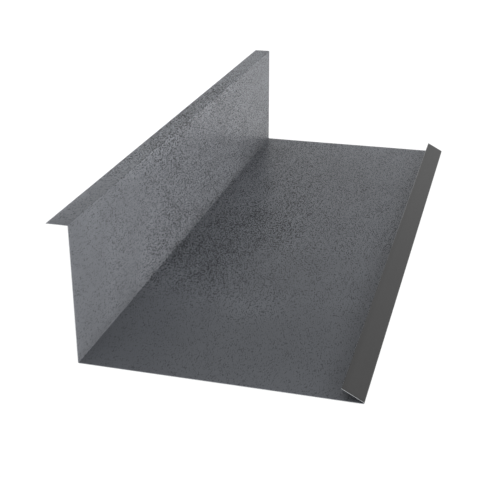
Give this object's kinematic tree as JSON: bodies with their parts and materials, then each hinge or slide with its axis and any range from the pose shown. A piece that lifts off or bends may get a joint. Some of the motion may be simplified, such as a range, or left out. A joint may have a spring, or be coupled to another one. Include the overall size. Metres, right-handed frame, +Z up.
{
  "type": "abutment flashing",
  "caption": "Long roof-to-wall flashing strip bent from thin coated steel sheet: wide base, upright web, narrow outward top flange and a fold-back lip along the base's open edge.",
  "frame": {"origin": "middle of the bounding box's underside: at half the strip's length, level with the underside of the base", "axes": "+X across the base, from the wall towards the fold; +Y along the strip; +Z up, square to the base"},
  "size_m": [0.2694, 0.675, 0.129],
  "materials": {
    "coated_steel": "matte"
  },
  "bodies": {
    "root": {"abutment_flashing": "coated_steel"}
  },
  "joints": []
}
